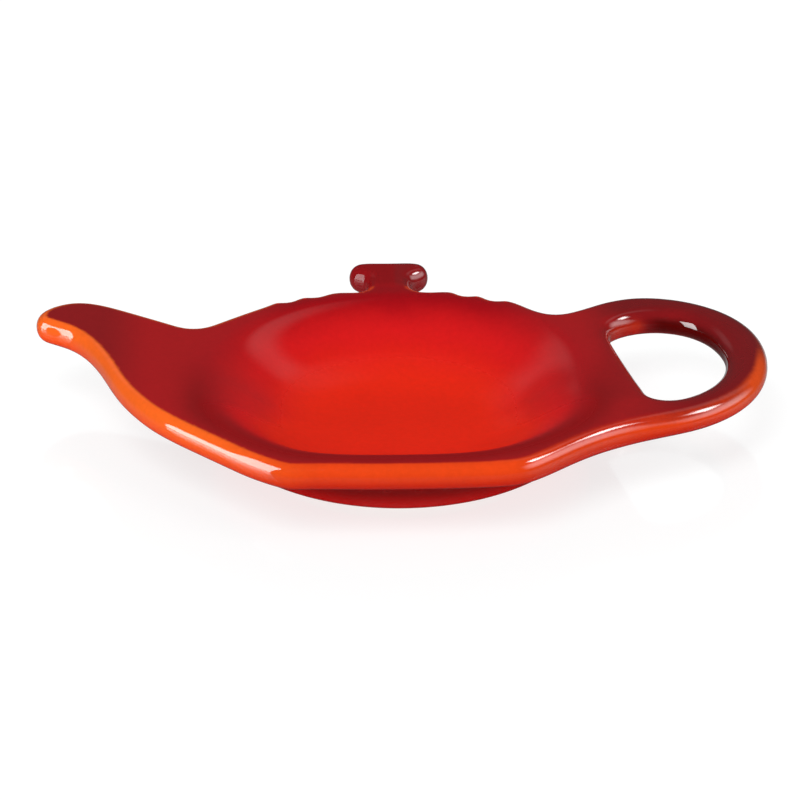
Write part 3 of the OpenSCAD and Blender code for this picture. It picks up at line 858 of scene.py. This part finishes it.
class GlazeMap:
    """How the glaze lies on the casting, point by point, in shares from 0 to 1.

    A span holds the two values between which a share eases from 0 to 1. It is in millimetres to the right or,
    for the spout, to the left of the well's middle, unless its name says y, side, depth or height. Where the
    name says tilt, it is in the upward part of the skin's unit normal, and where it says reach, in the share
    of the way to the crest.
    """

    HANDLE: Span = (14.0, 40.0)
    HANDLE_END: Span = (70.0, 78.0)
    HANDLE_POOL: Span = (40.0, 68.0)
    BACK_ROOT: Span = (36.0, 50.0)
    BACK_ROOT_Y: Span = (20.0, 34.0)
    FRONT_ROOT: Span = (38.0, 46.0)
    FRONT_ROOT_Y: Span = (10.0, 18.0)
    FAR_END: Span = (62.0, 74.0)
    FAR_END_Y: Span = (4.0, 16.0)
    WARM_END: Span = (64.0, 78.0)
    LOOP: Span = (52.0, 58.0)
    STRAIGHT_END: Span = (52.0, 57.0)
    HOLE_CORNER_Y: Span = (17.0, 23.0)
    KNOB_Y: Span = (44.5, 47.0)
    KNOB_SIDE: Span = (9.0, 14.0)
    LID_Y: Span = (14.0, 40.0)
    LID_SIDE: Span = (20.0, 34.0)
    SPOUT: Span = (16.0, 46.0)
    SPOUT_END: Span = (52.0, 64.0)
    EDGE_DEPTH: Span = (1.4, 3.2)
    HANDLE_EXTRA_DEPTH = 1.6
    HANDLE_BACK = 12.0
    DISH_REACH: Span = (0.6, 0.7)
    CREST_REACH: Span = (1.0, 1.06)
    CREST_SHADE_REACH = 1.04
    CREST_SHADE_WIDTH = 0.09
    UNDER_RIM_SHADE_HEIGHT: Span = (4.0, 10.0)
    DOWN_TILT: Span = (-0.9, -0.5)
    SIDE_TILT: Span = (0.0, 0.3)
    EDGE_SHADE_TILT: Span = (-0.6, 0.5)
    DULL_TILT: Span = (-0.4, 0.35)
    BORE_TILT: Span = (0.35, 0.9)
    BORE_DULL_TILT: Span = (0.1, 0.5)
    STRAIGHT_TILT: Span = (0.9, 0.99)
    HANDLE_TILT: Span = (0.0, 0.8)
    FAR_END_TILT: Span = (0.2, 0.9)

    def __init__(self, casting: Casting, place: np.ndarray, tilt: np.ndarray, loops: list[np.ndarray]) -> None:
        """Measures each point.

        Args:
            casting: The casting that the glaze lies on.
            place: Rows of x, y and z in millimetres.
            tilt: Upward part of the skin's unit normal.
            loops: The outer outline and the finger hole.
        """
        plan = place[:, :2].astype(float)
        outer, hole = distance_to(loops[:1], plan), distance_to(loops[1:], plan)
        self.x, self.y, self.z = place.T
        self.tilt, self.radius = tilt, radius_of(plan)
        self.reach, self.front = casting.well_reach(plan), casting.frontness(plan)
        self.by_hole = hole < outer
        self.knob = ease(*self.KNOB_Y, self.y) * fade(*self.KNOB_SIDE, np.abs(self.x))
        self.handle = ease(*self.HANDLE, self.x) * (1.0 - 0.6 * ease(*self.HANDLE_END, self.x))
        self.loop = self.by_hole * ease(*self.LOOP, self.x)
        self.straight = self.by_hole * fade(*self.STRAIGHT_END, self.x) * fade(*self.HOLE_CORNER_Y, self.y)
        shallow, deep = self.EDGE_DEPTH
        deep = deep + self.HANDLE_EXTRA_DEPTH * self.handle * (self.y < self.HANDLE_BACK)
        self.near = fade(shallow, deep, np.minimum(outer, hole))
        self.under = np.maximum(fade(*self.DOWN_TILT, tilt), (1.0 - self.near) * fade(*self.SIDE_TILT, tilt))
        # Where painted shade darkens the finger hole's far inner wall; the coat is also dulled there.
        self.bore_shade = self.loop * self.near * fade(*self.BORE_TILT, tilt)

    def thin(self) -> np.ndarray:
        """Tells how far the glaze ran off an edge: less on the knob, the handle's top and round the hole.

        Returns:
            1 where the glaze is thinnest.
        """
        thin = self.near * (1.0 - 0.85 * self.knob) * (1.0 - self.loop)
        thin *= 1.0 - 0.5 * self.by_hole + 0.15 * self.straight
        thin *= 1.0 - 0.5 * self.handle * ease(*self.HANDLE_TILT, self.tilt)
        far_end = ease(*self.FAR_END, self.x) * ease(*self.FAR_END_Y, self.y)
        return thin * (1.0 - 0.6 * far_end * ease(*self.FAR_END_TILT, self.tilt))

    def ring(self) -> np.ndarray:
        """Draws the dark ring of painted shade on the crest's front half, 0.85 e^(-((reach - middle) /
        width)^2).

        Returns:
            The ring's share.
        """
        front_half = fade(-0.35, 0.35, self.y / self.radius)
        off_ring = (self.reach - self.CREST_SHADE_REACH + 0.04 * self.front) / self.CREST_SHADE_WIDTH
        return 0.85 * np.exp(-off_ring ** 2) * front_half

    def pool(self) -> np.ndarray:
        """Tells how thick and dark the glaze lies on the level faces of the handle, the spout and the knob.

        Returns:
            1 where it is darkest.
        """
        return np.maximum.reduce([
            0.9 * ease(*self.HANDLE_POOL, self.x),
            0.9 * ease(*self.BACK_ROOT, self.x) * ease(*self.BACK_ROOT_Y, self.y),
            0.4 * ease(*self.FRONT_ROOT, self.x) * fade(*self.FRONT_ROOT_Y, -self.y),
            0.55 * ease(*self.SPOUT_END, -self.x),
            0.6 * self.knob,
        ])

    def soft(self) -> np.ndarray:
        """Tells where the gloss is soft: in the middle of the dish and on the wall in front of it.

        Returns:
            1 where it is softest.
        """
        middle = 0.85 * fade(*self.DISH_REACH, self.reach)
        front_wall = 0.95 * ease(0.1, 0.4, self.front) * fade(*self.CREST_REACH, self.reach)
        return np.maximum(middle, front_wall) * (1.0 - self.under)

    def dull(self) -> np.ndarray:
        """Tells where the clear coat is missing, because the photo shows no window mirrored there.

        Returns:
            1 where there is none.
        """
        return np.maximum.reduce([
            self.soft(),
            0.7 * self.under,
            0.9 * fade(*self.DULL_TILT, self.tilt),
            self.bore_shade * fade(*self.BORE_DULL_TILT, self.tilt),
            0.95 * self.knob * (self.x < 0),
            0.85 * self.straight * self.near * fade(*self.STRAIGHT_TILT, self.tilt),
        ])

    def values(self) -> dict[str, np.ndarray]:
        """Gives every value that the glaze reads.

        Besides the values with a method, reach is the share of the way to the crest, drawn out in front,
        edge_fall_and_shade grows down an edge, where the glaze ran thicker and painted shade darkens it, under
        grows where the skin faces down, under_rim_shade is painted shade that grows up the bowl towards the
        rim, warmth_and_painted_light is orange against red in the thin glaze together with painted light on the
        left edges, bore_shade is painted shade on the hole's far wall, and lid is the lid's side.

        Returns:
            The values by the name of their attribute.
        """
        return {
            "reach": self.reach ** (1.0 + 1.6 * self.front) * (1.0 + 0.15 * self.front),
            "ring": self.ring(),
            "thin": self.thin(),
            "edge_fall_and_shade": fade(*self.EDGE_SHADE_TILT, self.tilt),
            "under": self.under,
            # Partly the glaze's own orange, partly painted light on the left edges.
            "warmth_and_painted_light": 0.15 + 0.85 * ease(*self.SPOUT, -self.x) + 0.3 * ease(*self.WARM_END, self.x),
            "pool": self.pool(),
            "under_rim_shade": ease(*self.UNDER_RIM_SHADE_HEIGHT, self.z),
            "bore_shade": self.bore_shade,
            "soft": self.soft(),
            "dull": self.dull(),
            "lid": ease(*self.LID_Y, self.y) * fade(*self.LID_SIDE, np.abs(self.x)) * (1.0 - 0.7 * self.knob),
        }


def grid_faces(rows: int, count: int) -> np.ndarray:
    """Gives the quads of a grid whose rows are closed loops.

    Args:
        rows: Number of rows.
        count: Points in a row.

    Returns:
        Rows of four point numbers.
    """
    row, column = np.meshgrid(np.arange(rows - 1), np.arange(count), indexing="ij")
    after = (column + 1) % count
    return np.stack([
        row * count + column, row * count + after, (row + 1) * count + after, (row + 1) * count + column,
    ], axis=-1).reshape(-1, 4)


class Skin:
    """A mesh that is gathered patch by patch and then joined along the patches' shared points."""

    MERGE = 0.002 * MM

    def __init__(self) -> None:
        """Starts with no patch."""
        self.points: list[np.ndarray] = []
        self.faces: list[list[int]] = []
        self.count = 0

    def add(self, points: np.ndarray, faces: np.ndarray) -> None:
        """Adds one patch.

        Args:
            points: Rows of x, y and z in millimetres.
            faces: Rows of point numbers.
        """
        self.points.append(points)
        self.faces.extend((faces + self.count).tolist())
        self.count += len(points)

    def make(self, name: str) -> bpy.types.Object:
        """Joins the patches, closes what is left of their poles and turns every face outwards.

        Args:
            name: Name of the object.

        Returns:
            The object.
        """
        mesh = bpy.data.meshes.new(name)
        mesh.from_pydata((np.concatenate(self.points) * MM).tolist(), [], self.faces)
        work = bmesh.new()
        work.from_mesh(mesh)
        bmesh.ops.remove_doubles(work, verts=work.verts, dist=self.MERGE)
        loose = [v for v in work.verts if not v.link_faces]
        bmesh.ops.delete(work, geom=loose, context="VERTS")
        open_edges = [e for e in work.edges if e.is_boundary]
        bmesh.ops.holes_fill(work, edges=open_edges, sides=0)
        bmesh.ops.recalc_face_normals(work, faces=work.faces)
        left = sum(e.is_boundary for e in work.edges)
        log.info("%s: %d open edges closed, %d left", name, len(open_edges), left)
        work.to_mesh(mesh)
        work.free()
        mesh.shade_smooth()
        mesh.update()
        piece = bpy.data.objects.new(name, mesh)
        bpy.context.scene.collection.objects.link(piece)
        return piece


class LampRole(Enum):
    """What a lamp is there for."""

    FILL = "soft light on the surfaces"
    GLINT = "highlight in the glaze"
    TABLE = "sheen on the table"


@dataclass
class Lamp:
    """A rectangular lamp that looks at the well: its direction and roll in degrees, its sizes in metres."""

    name: str
    role: LampRole
    azimuth: float
    elevation: float
    distance: float
    width: float
    height: float
    power: float
    roll: float = 0.0
    feathered: bool = False
    SOFT_SIDE: ClassVar[float] = 0.8

    def build(self, table: bpy.types.Object) -> None:
        """Places the lamp on a sphere about the well.

        Azimuth 0 is the camera's side, -Y, and it grows towards +X.

        Args:
            table: The only thing that a lamp with the role TABLE lights.
        """
        data = bpy.data.lights.new(self.name, "AREA")
        data.shape = "RECTANGLE"
        data.size = self.width
        data.size_y = self.height
        data.energy = self.power
        if self.feathered:
            self.feather(data)
        lamp = bpy.data.objects.new(self.name, data)
        turn, rise = math.radians(self.azimuth), math.radians(self.elevation)
        way = Vector((math.sin(turn) * math.cos(rise), -math.cos(turn) * math.cos(rise), math.sin(rise)))
        lamp.location = way * self.distance
        look = (-way).to_track_quat("-Z", "Y") @ Quaternion((0.0, 0.0, 1.0), math.radians(self.roll))
        lamp.rotation_euler = look.to_euler()
        lamp.visible_camera = False
        lamp.visible_diffuse = self.role is not LampRole.GLINT
        lamp.visible_glossy = self.role is not LampRole.FILL
        bpy.context.scene.collection.objects.link(lamp)
        if self.role is LampRole.TABLE:
            only = bpy.data.collections.new(self.name)
            only.objects.link(table)
            lamp.light_linking.receiver_collection = only

    def feather(self, data: bpy.types.Light) -> None:
        """Lets the lamp's face fade from its middle to its sides, by the product of 1 - |2u - 1| each way.

        Args:
            data: The lamp's data.
        """
        graph = Graph(data)
        place = graph.node("ShaderNodeNewGeometry", output="Parametric")
        shares = []
        for axis in ("X", "Y"):
            off_middle = graph.node("ShaderNodeSeparateXYZ", sockets={0: place}, output=axis) * 2.0 - 1.0
            shares.append((1.0 - off_middle.maths("ABSOLUTE", off_middle)).eased(0.0, self.SOFT_SIDE))
        glow = graph.node("ShaderNodeEmission", sockets={"Strength": shares[0] * shares[1]})
        graph.finish(glow, "ShaderNodeOutputLight")


@dataclass
class Studio:
    """The camera, the table, the lamps and the surroundings."""

    elevation: float = 26.0
    azimuth: float = -1.2
    distance: float = 1.309
    lens: float = 274.95
    sensor: float = 36.0
    nearest: float = 0.05
    aim_up: float = 0.01018
    aim_right: float = 0.0002
    room: float = 0.3
    mirrored_room: float = 0.04
    table_half: float = 3.0
    table_gap: float = 0.05 * MM

    def camera(self) -> None:
        """Places the camera as the photograph has it."""
        e, a = math.radians(self.elevation), math.radians(self.azimuth)
        ahead = Vector((-math.sin(a) * math.cos(e), math.cos(a) * math.cos(e), -math.sin(e)))
        right = Vector((math.cos(a), math.sin(a), 0.0))
        up = right.cross(ahead)
        data = bpy.data.cameras.new("view")
        data.lens = self.lens
        data.sensor_width = self.sensor
        data.clip_start = self.nearest
        camera = bpy.data.objects.new("view", data)
        camera.location = -ahead * self.distance
        aim = up * self.aim_up + right * self.aim_right
        camera.rotation_euler = (aim - camera.location).to_track_quat("-Z", "Y").to_euler()
        bpy.context.scene.collection.objects.link(camera)
        bpy.context.scene.camera = camera

    def table(self) -> bpy.types.Object:
        """Lays the table a hair under the foot, so that the two faces don't share a plane.

        Returns:
            The table.
        """
        mesh = bpy.data.meshes.new("table")
        half, low = self.table_half, -self.table_gap
        corners = [(-half, -half, low), (half, -half, low), (half, half, low), (-half, half, low)]
        mesh.from_pydata(corners, [], [(0, 1, 2, 3)])
        table = bpy.data.objects.new("table", mesh)
        mesh.materials.append(FloorFinish().make())
        bpy.context.scene.collection.objects.link(table)
        return table

    def surroundings(self) -> None:
        """Sets a plain pale room, which the camera sees as white."""
        world = bpy.data.worlds.new("room")
        bpy.context.scene.world = world
        graph = Graph(world)
        seen = graph.node("ShaderNodeLightPath", output="Is Camera Ray")
        mirrored = graph.node("ShaderNodeLightPath", output="Is Glossy Ray")
        strength = seen.maths("MAXIMUM", seen, self.room - mirrored * (self.room - self.mirrored_room))
        room = graph.node("ShaderNodeBackground", sockets={"Color": (1.0, 1.0, 1.0), "Strength": strength})
        graph.finish(room, "ShaderNodeOutputWorld")

    def lamps(self) -> list[Lamp]:
        """Gives the lamps: soft light from two sides, the windows that the glaze mirrors and the table's sheen.

        The window on the left makes the bars on the spout's tip, the long highlight on the left front edge
        and the spot on the handle's far arc. The screen and the strip on the right fade out to their sides,
        like the two faint cards that stand behind the object.

        Returns:
            The lamps, each with its fields in the order of the class.
        """
        fill, glint = LampRole.FILL, LampRole.GLINT
        return [
            Lamp("soft_left", fill, -28.0, 54.0, 1.5, 0.9, 0.9, 15.5),
            Lamp("soft_right", fill, 65.0, 45.0, 1.5, 0.8, 0.8, 4.5),
            Lamp("window_left", glint, -77.0, 24.0, 1.2, 0.59, 1.0, 16.0),
            Lamp("screen_right", glint, 84.0, 26.0, 1.2, 2.0, 1.0, 18.0, 0.0, True),
            Lamp("strip_right", glint, 98.0, 51.0, 1.2, 0.5, 0.42, 12.0, 0.0, True),
            Lamp("card_behind_right", glint, 146.0, 47.0, 1.2, 1.0, 0.5, 0.45, 57.0, True),
            Lamp("card_behind_left", glint, -154.0, 31.0, 1.2, 0.6, 0.6, 0.15, 0.0, True),
            Lamp("table_sheen", LampRole.TABLE, 180.0, 26.0, 2.0, 2.4, 1.2, 7.0),
        ]

    def build(self) -> None:
        """Builds the studio."""
        self.camera()
        table = self.table()
        self.surroundings()
        for lamp in self.lamps():
            lamp.build(table)
            log.info("lamp %s", lamp.name)
        bpy.context.scene.view_settings.view_transform = "Standard"


def dress_casting(piece: bpy.types.Object) -> None:
    """Glazes the casting and ties it to the CAD nodes that it stands for.

    Args:
        piece: The casting.
    """
    piece.data.materials.append(GlazeFinish().make())
    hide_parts("well_floor", "well_wall", "rim", "spout", "handle", "lid_knob")
    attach(piece, "root")


def dress_foot() -> None:
    """Gives the CAD's foot ring its bare ground clay."""
    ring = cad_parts["foot_ring"]
    material = ClayFinish().make()
    if not ring.data.materials:
        ring.data.materials.append(material)
    for slot in ring.material_slots:
        slot.material = material


def main() -> None:
    """Builds the studio and the object."""
    logging.basicConfig(level=logging.INFO, format="%(message)s")
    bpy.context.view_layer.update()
    Studio().build()
    casting = Casting().build()
    dress_casting(casting)
    log.info("casting: %d points, %d faces", len(casting.data.vertices), len(casting.data.polygons))
    dress_foot()
    log.info("foot ring: bare clay")
    log.info("sizes written")


if __name__ == "__main__":
    main()
